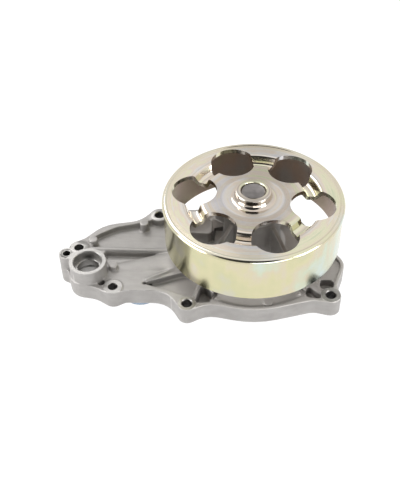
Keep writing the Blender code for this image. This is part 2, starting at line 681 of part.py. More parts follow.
def seal_casing(mat):
    """Pressed cup: a tube in the seal bore, turned in at the top and out over the chamber's ceiling."""
    outer = SEAL_BORE_R - GAP
    sheet = 0.6 * MM
    top = SEAL_BORE_TOP - GAP
    flange_top = SEAL_BORE_BOTTOM - GAP
    profile = [(9.4 * MM, top - sheet), (outer - sheet, top - sheet), (outer - sheet, flange_top - sheet)]
    profile += [(18.2 * MM, flange_top - sheet), (18.2 * MM, flange_top), (outer, flange_top), (outer, top)]
    profile += [(9.4 * MM, top)]
    return add("seal_casing", turned_bm(profile, 36), mat)


def seal_bellows(mat):
    """Rubber sleeve with one fold, between the casing's floor and the carbon ring."""
    inside = [(9.4 * MM, 7.8 * MM), (9.4 * MM, 5.6 * MM), (10.4 * MM, 4.2 * MM), (9.4 * MM, 2.8 * MM)]
    ends = [(9.4 * MM, 1.3 * MM), (10.6 * MM, 1.3 * MM)]
    outside = [(10.6 * MM, 2.4 * MM), (11.4 * MM, 4.2 * MM), (10.6 * MM, 6.0 * MM), (10.6 * MM, 7.8 * MM)]
    profile = inside + ends + outside
    return add("seal_bellows", turned_bm(profile, COARSE), mat)


def seal_spring(mat):
    """Coil spring round the bellows, cut square at its ends."""
    turns = 2.5
    steps = 45
    radius = 12.7 * MM
    wire = 0.55 * MM
    low = 2.0 * MM
    high = 7.2 * MM
    sides = 6
    bm = bmesh.new()
    rings = []
    for step in range(steps + 1):
        share = step / steps
        angle = turns * tau * share
        middle = Vector((radius * cos(angle), radius * sin(angle), low + (high - low) * share))
        outward = Vector((cos(angle), sin(angle), 0))
        ring = []
        for k in range(sides):
            side = tau * k / sides
            offset = outward * wire * cos(side) + Vector((0, 0, wire * sin(side)))
            ring.append(bm.verts.new(middle + offset))
        rings.append(ring)
    for here, there in zip(rings, rings[1:]):
        for k in range(sides):
            j = (k + 1) % sides
            bm.faces.new((here[k], here[j], there[j], there[k]))
    bm.faces.new(rings[0][::-1])
    bm.faces.new(rings[-1])
    return add("seal_spring", bm, mat, 60)


def seal_ring(mat):
    """Carbon face ring; its narrow nose runs against the mating ring."""
    profile = [(9.4 * MM, 1.0 * MM), (9.4 * MM, -2.4 * MM), (11.6 * MM, -2.4 * MM), (11.6 * MM, -1.4 * MM)]
    profile += [(13.4 * MM, -1.2 * MM), (13.4 * MM, 1.0 * MM)]
    return add("seal_ring", turned_bm(profile, COARSE), mat)


def mating_ring(mat):
    profile = [(8.7 * MM, -5.6 * MM), (13.2 * MM, -5.6 * MM), (13.2 * MM, -3.1 * MM)]
    profile += [(12.8 * MM, -2.7 * MM), (9.1 * MM, -2.7 * MM), (8.7 * MM, -3.1 * MM)]
    return add("mating_ring", turned_bm(profile, COARSE), mat)


def seat_boot(mat):
    """Rubber cup that holds the mating ring on the impeller."""
    floor = DISC_TOP + GAP
    profile = [(8.7 * MM, floor), (15.0 * MM, floor), (15.0 * MM, -3.6 * MM)]
    profile += [(13.5 * MM, -3.6 * MM), (13.5 * MM, -5.9 * MM), (8.7 * MM, -5.9 * MM)]
    return add("seat_boot", turned_bm(profile, COARSE), mat)


# ---------------------------------------------------------------- impeller, port and seals


def vane_bm(index):
    """One backward-curved vane as an upright strip that follows a spiral."""
    thick = 1.5 * MM
    pieces = 6
    start = index * tau / VANES
    middle = []
    for k in range(pieces + 1):
        share = k / pieces
        radius = 13.5 * MM + (IMPELLER_R - 14.1 * MM) * share
        middle.append(polar(radius, start - radians(58) * share ** 0.85))
    left = []
    right = []
    for k, (x, y) in enumerate(middle):
        x1, y1 = middle[max(0, k - 1)]
        x2, y2 = middle[min(pieces, k + 1)]
        length = hypot(x2 - x1, y2 - y1)
        nx = -(y2 - y1) / length * thick / 2
        ny = (x2 - x1) / length * thick / 2
        left.append((x + nx, y + ny))
        right.append((x - nx, y - ny))
    return prism_bm(right + left[::-1], VANE_BOTTOM, DISC_TOP - 0.5 * MM)


def impeller(mat):
    disc = [(11.0 * MM, DISC_BOTTOM), (IMPELLER_R, DISC_BOTTOM)]
    disc += [(IMPELLER_R, DISC_TOP), (11.0 * MM, DISC_TOP)]
    wheel = add("impeller", turned_bm(disc, FINE), mat)
    vanes = []
    for k in range(VANES):
        vanes.append(add("vane", vane_bm(k)))
    return combine(wheel, vanes, "UNION")


def impeller_hub(mat):
    inner = SHAFT_R + GAP
    shoulder = DISC_BOTTOM - GAP
    profile = [(inner, HUB_BOTTOM), (HUB_R - 0.5 * MM, HUB_BOTTOM), (HUB_R, HUB_BOTTOM + 0.5 * MM)]
    profile += [(HUB_R, shoulder), (HUB_SPIGOT_R, shoulder), (HUB_SPIGOT_R, DISC_TOP)]
    profile.append((inner, DISC_TOP))
    return add("impeller_hub", turned_bm(profile, COARSE), mat)


def transfer_sleeve(mat):
    inner = 10.5 * MM
    top = PORT_SEAT_TOP - GAP
    edge = 0.5 * MM
    profile = [(inner, SLEEVE_BOTTOM), (SLEEVE_R - edge, SLEEVE_BOTTOM)]
    profile += [(SLEEVE_R, SLEEVE_BOTTOM + edge), (SLEEVE_R, NECK_BOTTOM)]
    profile += [(SLEEVE_NECK_R, NECK_BOTTOM), (SLEEVE_NECK_R, NECK_TOP), (SLEEVE_R, NECK_TOP)]
    profile += [(SLEEVE_R, top - edge), (SLEEVE_R - edge, top), (inner, top)]
    return add("transfer_sleeve", turned_bm(profile, 32, PORT), mat)


def sleeve_oring(mat):
    half = 0.9 * MM
    middle = SLEEVE_NECK_R + GAP + half
    section = arc((middle, (NECK_BOTTOM + NECK_TOP) / 2), half, 0, 315, 7)
    return add("sleeve_oring", turned_bm(section, 32, PORT), mat)


def body_seal(mat):
    """Moulded rubber seal, in a groove of the engine face and a little proud of it."""
    outer = outline(seal_circles(), 0.0, radians(15))
    inner = outline(seal_circles(), 2.6 * MM, radians(15))
    return add("body_seal", band_bm(outer, inner, -0.6 * MM, 1.9 * MM), mat)


# ---------------------------------------------------------------- the pump


def main():
    clear_scene()
    cast = material("cast_aluminium", (0.56, 0.54, 0.51), 0.42, 0.85)
    plated = material("yellow_zinc", (0.80, 0.78, 0.58), 0.16, 1.0)
    steel = material("ground_steel", (0.42, 0.40, 0.39), 0.30, 1.0)
    bearing = material("bearing_steel", (0.60, 0.60, 0.61), 0.20, 1.0)
    polymer = material("cage_polymer", (0.34, 0.20, 0.10), 0.50, 0.0)
    rubber = material("black_rubber", (0.02, 0.02, 0.02), 0.60, 0.0)
    blue = material("blue_zinc", (0.42, 0.50, 0.58), 0.28, 1.0)
    pressed = material("pressed_steel", (0.50, 0.50, 0.48), 0.35, 1.0)
    stainless = material("seal_casing_steel", (0.55, 0.56, 0.58), 0.25, 1.0)
    carbon = material("seal_carbon", (0.03, 0.03, 0.035), 0.35, 0.0)
    ceramic = material("seal_ceramic", (0.75, 0.73, 0.68), 0.25, 0.0)
    dark_rubber = material("moulded_rubber", (0.03, 0.05, 0.04), 0.55, 0.0)

    pump_housing(cast)
    pulley(plated)
    pump_shaft(steel)
    bearing_outer_ring(bearing)
    for row in ("front", "rear"):
        ball_row(row, bearing)
        ball_cage(row, polymer)
    bearing_seal("front_bearing_seal", BEARING_TOP - 1.6 * MM, rubber)
    bearing_seal("rear_bearing_seal", BEARING_BOTTOM + 0.5 * MM, rubber)
    slinger(pressed)
    seal_casing(stainless)
    seal_bellows(rubber)
    seal_spring(pressed)
    seal_ring(carbon)
    mating_ring(ceramic)
    seat_boot(rubber)
    impeller(pressed)
    impeller_hub(steel)
    transfer_sleeve(blue)
    sleeve_oring(rubber)
    body_seal(dark_rubber)


main()
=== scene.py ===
"""Looks for the water pump: fine meshes, materials, floor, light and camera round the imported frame."""

import json
from math import acos, cos, pi, radians, sin, tan, tau

import bmesh
import bpy
from mathutils import Euler, Matrix, Vector


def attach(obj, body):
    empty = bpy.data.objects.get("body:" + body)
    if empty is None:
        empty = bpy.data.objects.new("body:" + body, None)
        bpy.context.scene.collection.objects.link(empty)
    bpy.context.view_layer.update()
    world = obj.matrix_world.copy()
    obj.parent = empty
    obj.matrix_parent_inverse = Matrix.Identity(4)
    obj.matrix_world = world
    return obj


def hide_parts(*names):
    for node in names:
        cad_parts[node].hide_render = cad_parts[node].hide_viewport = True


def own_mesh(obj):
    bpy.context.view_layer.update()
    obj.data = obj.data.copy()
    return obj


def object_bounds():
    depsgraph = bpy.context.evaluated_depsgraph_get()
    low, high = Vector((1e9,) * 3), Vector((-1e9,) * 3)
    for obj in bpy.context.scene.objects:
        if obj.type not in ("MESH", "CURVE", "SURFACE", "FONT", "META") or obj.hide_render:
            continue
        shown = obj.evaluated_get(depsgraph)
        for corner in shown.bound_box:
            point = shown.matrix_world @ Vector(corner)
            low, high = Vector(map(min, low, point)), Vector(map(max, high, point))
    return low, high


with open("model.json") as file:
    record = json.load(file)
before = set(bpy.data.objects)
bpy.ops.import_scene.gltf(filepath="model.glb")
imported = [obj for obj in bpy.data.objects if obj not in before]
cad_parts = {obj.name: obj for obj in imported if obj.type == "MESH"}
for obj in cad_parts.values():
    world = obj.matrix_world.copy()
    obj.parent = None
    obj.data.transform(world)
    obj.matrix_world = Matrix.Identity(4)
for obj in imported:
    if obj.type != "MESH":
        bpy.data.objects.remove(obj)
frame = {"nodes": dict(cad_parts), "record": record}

MM = 0.001
cad_box = [list(corner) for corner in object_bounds()]

# Sizes that the CAD part has too
SHAFT_R = 7.95 * MM
SHAFT_TOP = 62.0 * MM
SHAFT_BOTTOM = -20.3 * MM
BEARING_R = 15.0 * MM
BEARING_BOTTOM = 12.3 * MM
BEARING_TOP = 46.9 * MM
BEARING_LAND_R = 12.2 * MM
BALL_R = 2.75 * MM
BALL_CIRCLE_R = 10.3 * MM
BALLS = 7
ROW_HEIGHTS = {"rear": 20.5 * MM, "front": 38.7 * MM}
GAP = 0.3 * MM
LIP_R = 60.0 * MM
BELT_FACE_R = 59.3 * MM
RIM_BOTTOM = 22.9 * MM
WEB_TOP = 56.3 * MM
SHEET = 2.9 * MM
COLLAR_R = 11.8 * MM
COLLAR_TOP = 62.4 * MM
GROOVE_FLOOR = 50.6 * MM
PULLEY_HOLES = 6
PULLEY_HOLE_R = 15.0 * MM
PULLEY_HOLE_CIRCLE_R = 39.4 * MM
PULLEY_HOLE_PHASE = radians(-7.9)
BOSS_TOP = 12.8 * MM
SCREW_HOLE_R = 3.35 * MM
BOSS_MOUNT_OFFSET = 4.9 * MM  # a screw boss's mount lies this far along +X from its hole
BIG_BOSS = (-108.3 * MM, -31.0 * MM)
BIG_BOSS_TOP = 22.5 * MM
BIG_BORE_R = 6.9 * MM
COUNTERBORE_R = 9.4 * MM
LUG = (-123.6 * MM, -24.3 * MM)
LUG_HOLE_R = 2.7 * MM
PORT = (-74.0 * MM, -30.4 * MM)
SLEEVE_R = 13.0 * MM
CHAMBER_R = 36.5 * MM
IMPELLER_R = 32.0 * MM
VANES = 7

# Fine shapes, materials and the view
PULLEY_STEPS = 240  # sides of the pulley's rings
LIP_BOTTOM = 53.8 * MM  # where the lip meets the belt face
HOLE_LAND = 3.6 * MM  # width of the faced ring round a screw hole
FLOOR_DROP = 1.0 * MM
CAMERA_PLACE = (0.0, -0.40191, 0.39579)
CAMERA_ANGLES = (46.0258, 1.0163, 4.1089)
CAMERA_LENS = 57.666
LIGHTS = (  # name, place, target, size, watts
    ("key", (-0.35, 0.3, 0.55), (-0.02, 0, 0.02), (0.4, 0.4), 1.5),
    ("front_fill", (0.25, -0.6, 0.12), (0.02, 0, 0.02), (0.5, 0.2), 0.8),
    ("left_fill", (-0.6, -0.25, 0.16), (-0.1, -0.03, 0.0), (0.4, 0.25), 2.4),
    ("right_fill", (0.55, -0.3, 0.2), (0.04, -0.02, 0.01), (0.3, 0.3), 1.8),
)

bosses = {}
for mount in frame["record"]["mounts"]:
    if mount["name"].startswith("screw_boss_"):
        x, y, _ = mount["pos_m"]
        bosses[mount["name"]] = (x - BOSS_MOUNT_OFFSET, y)


# ---------------------------------------------------------------- node materials


def finish(name, color, roughness, metallic):
    """A new Principled material and its shader node."""
    mat = bpy.data.materials.new(name)
    mat.use_nodes = True
    shader = mat.node_tree.nodes["Principled BSDF"]
    shader.inputs["Base Color"].default_value = (*color, 1.0)
    shader.inputs["Roughness"].default_value = roughness
    shader.inputs["Metallic"].default_value = metallic
    return mat, shader


def node(tree, kind, inputs=None, **settings):
    made = tree.nodes.new("ShaderNode" + kind)
    for key, value in settings.items():
        setattr(made, key, value)
    for key, value in (inputs or {}).items():
        if isinstance(value, bpy.types.NodeSocket):
            tree.links.new(value, made.inputs[key])
        else:
            made.inputs[key].default_value = value
    return made


def math(tree, operation, a, b=0.0):
    return node(tree, "Math", {0: a, 1: b}, operation=operation).outputs[0]


def coordinates(tree, scale=(1, 1, 1)):
    """The piece's own coordinates in metres, stretched along each axis."""
    place = node(tree, "TexCoord").outputs["Object"]
    return node(tree, "VectorMath", {0: place, 1: scale}, operation="MULTIPLY").outputs[0]


def noise(tree, vector, scale, detail=3.0, rough=0.55):
    inputs = {"Vector": vector, "Scale": scale, "Detail": detail, "Roughness": rough}
    return node(tree, "TexNoise", inputs).outputs["Fac"]


def spread(tree, value, low, high, to_low=0.0, to_high=1.0):
    """Maps a range of a value to another, smoothly and held to its ends."""
    inputs = {"Value": value, "From Min": low, "From Max": high, "To Min": to_low, "To Max": to_high}
    return node(tree, "MapRange", inputs, interpolation_type="SMOOTHSTEP").outputs["Result"]


def ramp(tree, value, stops):
    made = node(tree, "ValToRGB", {"Fac": value})
    elements = made.color_ramp.elements
    while len(elements) < len(stops):
        elements.new(0.5)
    for element, (place, color) in zip(elements, stops):
        element.position = place
        element.color = (*color, 1.0)
    return made.outputs["Color"]


def mix(tree, factor, a, b, blend="MIX"):
    made = node(tree, "Mix", data_type="RGBA", blend_type=blend)
    for socket, value in ((made.inputs[0], factor), (made.inputs[6], a), (made.inputs[7], b)):
        if isinstance(value, bpy.types.NodeSocket):
            tree.links.new(value, socket)
        else:
            socket.default_value = value if isinstance(value, float) else (*value, 1.0)
    return made.outputs[2]


def bump(tree, shader, height, distance, strength):
    made = node(tree, "Bump", {"Height": height, "Distance": distance, "Strength": strength})
    tree.links.new(made.outputs["Normal"], shader.inputs["Normal"])


def link(tree, output, shader, name):
    tree.links.new(output, shader.inputs[name])


def axis_radius(tree, centre=(0, 0, 0)):
    """Distance from a vertical line."""
    place = coordinates(tree)
    offset = node(tree, "VectorMath", {0: place, 1: centre}, operation="SUBTRACT").outputs[0]
    flat = node(tree, "VectorMath", {0: offset, 1: (1, 1, 0)}, operation="MULTIPLY").outputs[0]
    return node(tree, "VectorMath", {0: flat}, operation="LENGTH").outputs["Value"]


def chromate(name, top_stops, side_stops, low_rough, high_rough, mark_depth):
    """Bright zinc plate under a chromate film whose tint drifts in patches, rings and streaks."""
    mat, shader = finish(name, (0.62, 0.58, 0.42), 0.12, 1.0)
    tree = mat.node_tree
    place = coordinates(tree)
    patches = noise(tree, place, 30.0, 3.0)
    streaks = noise(tree, coordinates(tree, (1, 1, 0.16)), 75.0, 3.0)
    radius = axis_radius(tree)
    ring_place = node(tree, "CombineXYZ", {0: radius, 1: math(tree, "MULTIPLY", patches, 0.006)}).outputs[0]
    rings = noise(tree, ring_place, 260.0, 3.0, 0.7)
    across = node(tree, "SeparateXYZ", {0: place}).outputs["X"]
    drift = math(tree, "SUBTRACT", math(tree, "MULTIPLY", across, 1.6), 0.03)
    top = math(tree, "ADD", math(tree, "MULTIPLY", patches, 0.5), math(tree, "MULTIPLY", rings, 0.5))
    side = math(tree, "ADD", math(tree, "MULTIPLY", streaks, 0.35), math(tree, "MULTIPLY", patches, 0.65))
    side = math(tree, "ADD", side, drift)
    upright = node(tree, "SeparateXYZ", {0: node(tree, "NewGeometry").outputs["Normal"]}).outputs["Z"]
    flatness = spread(tree, math(tree, "ABSOLUTE", upright), 0.35, 0.85)
    # Duller plateau, yellower towards the lip, and painted shade in the crease under it
    lip_tint = spread(tree, radius, 50 * MM, 58 * MM, 0.0, 0.35)
    level = mix(tree, lip_tint, ramp(tree, top, top_stops), (0.72, 0.69, 0.47))
    level = mix(tree, spread(tree, radius, 36 * MM, 30 * MM), level, (0.86, 0.85, 0.85), "MULTIPLY")
    pressed = math(tree, "MAXIMUM", flatness, spread(tree, radius, 56 * MM, 50 * MM))
    film = mix(tree, pressed, ramp(tree, side, side_stops), level)
    height = node(tree, "SeparateXYZ", {0: place}).outputs["Z"]
    # Painted shade: a thin dark line where the lip's overhang shades the crease
    from_crease = math(tree, "ABSOLUTE", math(tree, "SUBTRACT", height, LIP_BOTTOM))
    crease = spread(tree, from_crease, 0.5 * MM, 0.2 * MM)
    painted_crease_shade = math(tree, "MULTIPLY", crease, spread(tree, radius, 58 * MM, 59 * MM, 0.0, 0.8))
    link(tree, mix(tree, painted_crease_shade, film, (0.05, 0.045, 0.035)), shader, "Base Color")
    # The belt face is a little duller, and the collar is polished
    fine = noise(tree, place, 900.0, 2.0)
    belt_face = spread(tree, radius, 54 * MM, 58 * MM, 0.0, 0.05)
    belt_face = math(tree, "MULTIPLY", belt_face, spread(tree, height, LIP_BOTTOM, 53.2 * MM))
    dullness = math(tree, "ADD", spread(tree, fine, 0.3, 0.7, low_rough, high_rough), belt_face)
    dullness = math(tree, "SUBTRACT", dullness, spread(tree, radius, 17 * MM, 13 * MM, 0.0, 0.06))
    link(tree, dullness, shader, "Roughness")
    # Faint marks of the turning tool: rings on the web and lines round the belt face
    lines = noise(tree, coordinates(tree, (0.02, 0.02, 1)), 2600.0, 1.0)
    ring_lines = noise(tree, node(tree, "CombineXYZ", {0: radius}).outputs[0], 1600.0, 2.0)
    marks = math(tree, "ADD", math(tree, "MULTIPLY", lines, 0.4), math(tree, "MULTIPLY", ring_lines, 0.9))
    waves = math(tree, "MULTIPLY", patches, 6.0)
    bump(tree, shader, math(tree, "ADD", marks, waves), mark_depth, 0.6)
    return mat


def yellow_zinc():
    """The outside: pale yellow that turns pink, lilac and green, and cooler along the belt face."""
    top = (
        (0.36, (0.64, 0.68, 0.50)), (0.43, (0.77, 0.75, 0.56)), (0.49, (0.77, 0.67, 0.58)),
        (0.54, (0.77, 0.73, 0.66)), (0.59, (0.72, 0.70, 0.72)), (0.66, (0.69, 0.77, 0.66)),
    )
    side = (
        (0.34, (0.60, 0.58, 0.46)), (0.42, (0.62, 0.60, 0.38)), (0.48, (0.66, 0.62, 0.40)),
        (0.53, (0.66, 0.60, 0.45)), (0.58, (0.62, 0.65, 0.50)), (0.66, (0.60, 0.69, 0.65)),
        (0.74, (0.66, 0.64, 0.70)),
    )
    return chromate("yellow_zinc", top, side, 0.1, 0.16, 0.000014)


def shaded_brown_zinc():
    """The inside, where the film is browner, darkened with painted shade for the hollow under the cup."""
    top = ((0.36, (0.37, 0.29, 0.20)), (0.5, (0.38, 0.28, 0.23)), (0.64, (0.34, 0.28, 0.25)))
    side = ((0.36, (0.38, 0.32, 0.22)), (0.5, (0.39, 0.29, 0.23)), (0.64, (0.36, 0.32, 0.29)))
    return chromate("shaded_brown_zinc", top, side, 0.3, 0.4, 0.000003)


def cast_aluminium():
    """Die-cast skin: fine grain, faint flow marks, bright worn edges, and painted shade in the corners."""
    mat, shader = finish("cast_aluminium", (0.36, 0.345, 0.33), 0.5, 0.55)
    tree = mat.node_tree
    place = coordinates(tree)
    blotches = noise(tree, place, 55.0, 4.0)
    flow = noise(tree, coordinates(tree, (0.3, 1, 1)), 260.0, 3.0)
    grain = noise(tree, place, 1500.0, 3.0, 0.65)
    shade = math(tree, "ADD", math(tree, "MULTIPLY", blotches, 0.6), math(tree, "MULTIPLY", flow, 0.4))
    skin = ramp(tree, shade, (
        (0.30, (0.29, 0.277, 0.266)), (0.50, (0.35, 0.336, 0.324)), (0.70, (0.41, 0.396, 0.383)),
    ))
    edge = node(tree, "NewGeometry").outputs["Pointiness"]
    worn = spread(tree, edge, 0.505, 0.56)
    skin = mix(tree, math(tree, "MULTIPLY", worn, 0.6), skin, (0.60, 0.585, 0.565))
    # Painted shade: hollows and corners are darkened as if in shadow
    painted_cavity_shade = spread(tree, edge, 0.495, 0.44)
    skin = mix(tree, math(tree, "MULTIPLY", painted_cavity_shade, 0.6), skin, (0.13, 0.12, 0.11))
    speckle = spread(tree, noise(tree, place, 800.0, 2.0), 0.62, 0.72, 0.0, 0.25)
    skin = mix(tree, speckle, skin, (0.27, 0.255, 0.24))
    # Painted light: upright faces of the dome and the trough round the pulley are lightened as if more
    # light fell on them
    painted_top_light = spread(tree, axis_radius(tree, (12 * MM, -8 * MM, 0.0)), 78 * MM, 60 * MM)
    upright = node(tree, "SeparateXYZ", {0: node(tree, "NewGeometry").outputs["Normal"]}).outputs["Z"]
    painted_top_light = math(tree, "MULTIPLY", painted_top_light, spread(tree, upright, 0.1, 0.6, 0.0, 0.5))
    skin = mix(tree, painted_top_light, skin, (0.68, 0.65, 0.61))
    link(tree, skin, shader, "Base Color")
    link(tree, spread(tree, blotches, 0.3, 0.7, 0.42, 0.56), shader, "Roughness")
    relief = math(tree, "ADD", math(tree, "MULTIPLY", grain, 0.6), math(tree, "MULTIPLY", flow, 0.8))
    bump(tree, shader, relief, 0.00007, 0.8)
    return mat


def machined_aluminium():
    """Freshly cut aluminium with the fine arcs that a facing cutter leaves."""
    mat, shader = finish("machined_aluminium", (0.45, 0.44, 0.42), 0.36, 0.9)
    tree = mat.node_tree
    swirls = node(tree, "TexWave", {
        "Vector": coordinates(tree), "Scale": 1900.0, "Distortion": 1.2, "Detail": 2.0,
    }, wave_type="RINGS").outputs["Fac"]
    wear = noise(tree, coordinates(tree), 240.0, 3.0)
    tone = ramp(tree, wear, ((0.35, (0.30, 0.29, 0.278)), (0.65, (0.40, 0.39, 0.375))))
    link(tree, tone, shader, "Base Color")
    link(tree, spread(tree, wear, 0.3, 0.7, 0.3, 0.44), shader, "Roughness")
    bump(tree, shader, swirls, 0.00001, 0.5)
    return mat


def shaded_hole_wall():
    """Wall of a hole that is left as drilled, with spiral marks, painted dark for the shade deep inside it.
    """
    mat, shader = finish("shaded_hole_wall", (0.09, 0.085, 0.08), 0.5, 0.6)
    tree = mat.node_tree
    marks = noise(tree, coordinates(tree, (0.1, 0.1, 1)), 3000.0, 2.0)
    stain = noise(tree, coordinates(tree), 420.0, 3.0)
    tone = ramp(tree, stain, ((0.35, (0.04, 0.038, 0.036)), (0.65, (0.13, 0.125, 0.118))))
    link(tree, tone, shader, "Base Color")
    link(tree, spread(tree, stain, 0.3, 0.7, 0.4, 0.6), shader, "Roughness")
    bump(tree, shader, marks, 0.00003, 0.7)
    return mat


def steel(name, color, roughness, mark_scale, mark_depth, tint=0.12):
    """Steel with turning marks round the vertical axis and a slight drift in tone."""
    mat, shader = finish(name, color, roughness, 1.0)
    tree = mat.node_tree
    drift = noise(tree, coordinates(tree), 180.0, 3.0)
    dark = tuple(c * (1 - tint) for c in color)
    light = tuple(min(1.0, c * (1 + tint)) for c in color)
    link(tree, ramp(tree, drift, ((0.35, dark), (0.65, light))), shader, "Base Color")
    link(tree, spread(tree, drift, 0.3, 0.7, roughness * 0.8, roughness * 1.25), shader, "Roughness")
    height = node(tree, "SeparateXYZ", {0: coordinates(tree)}).outputs["Z"]
    around = node(tree, "CombineXYZ", {0: axis_radius(tree), 1: height}).outputs[0]
    bump(tree, shader, noise(tree, around, mark_scale, 1.0), mark_depth, 0.6)
    return mat


def soft_grain(name, color, roughness, scale, depth, sheen=0.0):
    """Moulded rubber, plastic, carbon or ceramic: even colour with a fine matt grain."""
    mat, shader = finish(name, color, roughness, 0.0)
    tree = mat.node_tree
    drift = noise(tree, coordinates(tree), scale * 0.2, 3.0)
    dark = tuple(c * 0.8 for c in color)
    light = tuple(min(1.0, c * 1.25 + 0.004) for c in color)
    link(tree, ramp(tree, drift, ((0.35, dark), (0.65, light))), shader, "Base Color")
    dullness = spread(tree, drift, 0.3, 0.7, roughness * 0.85, min(1.0, roughness * 1.15))
    link(tree, dullness, shader, "Roughness")
    shader.inputs["Sheen Weight"].default_value = sheen
    bump(tree, shader, noise(tree, coordinates(tree), scale, 2.0), depth, 0.7)
    return mat


materials = {
    "yellow_zinc": yellow_zinc(),
    "shaded_brown_zinc": shaded_brown_zinc(),
    "cast_aluminium": cast_aluminium(),
    "machined_aluminium": machined_aluminium(),
    "shaded_hole_wall": shaded_hole_wall(),
    "ground_steel": steel("ground_steel", (0.24, 0.225, 0.22), 0.34, 2200.0, 0.00001),
    "bearing_steel": steel("bearing_steel", (0.55, 0.55, 0.56), 0.16, 2600.0, 0.000004, 0.05),
    "pressed_steel": steel("pressed_steel", (0.42, 0.42, 0.40), 0.32, 1500.0, 0.00002, 0.2),
    "seal_casing_steel": steel("seal_casing_steel", (0.52, 0.53, 0.55), 0.22, 2000.0, 0.000008, 0.08),
    "spring_steel": steel("spring_steel", (0.42, 0.42, 0.42), 0.28, 2400.0, 0.000008),
    "blue_zinc": steel("blue_zinc", (0.30, 0.37, 0.46), 0.26, 1800.0, 0.00001, 0.15),
    "cage_polymer": soft_grain("cage_polymer", (0.20, 0.105, 0.045), 0.5, 2200.0, 0.00002),
    "black_rubber": soft_grain("black_rubber", (0.016, 0.016, 0.017), 0.6, 2600.0, 0.00003, 0.1),
    "moulded_rubber": soft_grain("moulded_rubber", (0.02, 0.034, 0.028), 0.55, 2000.0, 0.00003, 0.1),
    "seal_carbon": soft_grain("seal_carbon", (0.028, 0.028, 0.032), 0.36, 3200.0, 0.000008),
    "seal_ceramic": soft_grain("seal_ceramic", (0.66, 0.63, 0.57), 0.22, 2800.0, 0.000004),
}


# ---------------------------------------------------------------- mesh tools


def build(name, bm, materials_used=(), sharp=32.0):
    """Makes an object of a bmesh, with outward faces, shaded smooth up to the sharp angle."""
    bmesh.ops.recalc_face_normals(bm, faces=bm.faces)
    mesh = bpy.data.meshes.new(name)
    bm.to_mesh(mesh)
    bm.free()
    mesh.shade_smooth()
    mesh.set_sharp_from_angle(angle=radians(sharp))
    obj = bpy.data.objects.new(name, mesh)
    bpy.context.scene.collection.objects.link(obj)
    for mat in materials_used:
        mesh.materials.append(mat)
    return obj


def apply_modifiers(obj, sharp=32.0):
    """Replaces an object's mesh by what its modifiers make of it."""
    bpy.context.view_layer.update()
    graph = bpy.context.evaluated_depsgraph_get()
    mesh = bpy.data.meshes.new_from_object(obj.evaluated_get(graph))
    obj.modifiers.clear()
    obj.data = mesh
    mesh.shade_smooth()
    mesh.set_sharp_from_angle(angle=radians(sharp))


def join_or_cut(target, tools, operation, sharp=32.0):
    """Applies Booleans with some tool objects and removes those. A cut face takes the tool's material."""
    for tool in tools:
        modifier = target.modifiers.new(tool.name, "BOOLEAN")
        modifier.operation = operation
        modifier.solver = "EXACT"
        modifier.material_mode = "TRANSFER"
        modifier.object = tool
    apply_modifiers(target, sharp)
    for tool in tools:
        bpy.data.objects.remove(tool, do_unlink=True)


def rounded(points, radius, closed=True, pieces=4):
    """Rounds the corners of a (radius, height) outline as far as the sides beside them allow."""
    count = len(points)
    result = []
    for i, point in enumerate(points):
        here = Vector(point)
        if not closed and i in (0, count - 1):
            result.append(tuple(here))
            continue
        before = Vector(points[i - 1])
        after = Vector(points[(i + 1) % count])
        to_before = before - here
        to_after = after - here
        turn = pi - to_before.angle(to_after)
        if turn < radians(12):
            result.append(tuple(here))
            continue
        trim = min(radius * tan(turn / 2), 0.45 * to_before.length, 0.45 * to_after.length)
        start = here + to_before.normalized() * trim
        end = here + to_after.normalized() * trim
        for k in range(pieces + 1):
            share = k / pieces
            near = start.lerp(here, share)
            far = here.lerp(end, share)
            result.append(tuple(near.lerp(far, share)))
    return result


def spin_bm(points, steps, centre=(0.0, 0.0), closed=True):
    """Turns a (radius, height) outline round a vertical axis; an open one gets a flat face at each end."""
    bm = bmesh.new()
    rings = []
    for r, z in points:
        ring = []
        for step in range(steps):
            angle = tau * step / steps
            ring.append(bm.verts.new((centre[0] + r * cos(angle), centre[1] + r * sin(angle), z)))
        rings.append(ring)
    pairs = list(zip(rings, rings[1:]))
    if closed:
        pairs.append((rings[-1], rings[0]))
    for low, high in pairs:
        for step in range(steps):
            j = (step + 1) % steps
            bm.faces.new((low[step], low[j], high[j], high[step]))
    if not closed:
        bm.faces.new(rings[0][::-1])
        bm.faces.new(rings[-1])
    return bm


def cylinder_bm(centre, radius, bottom, top, steps=64):
    return spin_bm([(radius, bottom), (radius, top)], steps, centre, closed=False)


def sphere_bm(centre, radius, around, upward):
    bm = bmesh.new()
    place_ball = Matrix.Translation(centre)
    bmesh.ops.create_uvsphere(bm, u_segments=around, v_segments=upward, radius=radius, matrix=place_ball)
    return bm


def arc(centre, radius, start, end, pieces):
    """Points of an arc, its ends included; the angles are in degrees."""
    points = []
    for k in range(pieces + 1):
        angle = radians(start + (end - start) * k / pieces)
        points.append((centre[0] + radius * cos(angle), centre[1] + radius * sin(angle)))
    return points


def place(piece, node_names, body, slot):
    """Hides the CAD nodes that a finished piece stands for and attaches it to the body it moves with; the
    slot is not used.
    """
    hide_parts(*node_names)
    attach(piece, body)
    return piece


def turned(node_name, body, slot, outline, fillet=0.25 * MM, steps=96, centre=(0.0, 0.0), closed=True):
    """A finished piece of revolution that replaces a CAD node."""
    bm = spin_bm(rounded(outline, fillet, closed), steps, centre, closed)
    piece = build(node_name + "_finished", bm, (materials[slot],))
    return place(piece, [node_name], body, slot)


# ---------------------------------------------------------------- pulley


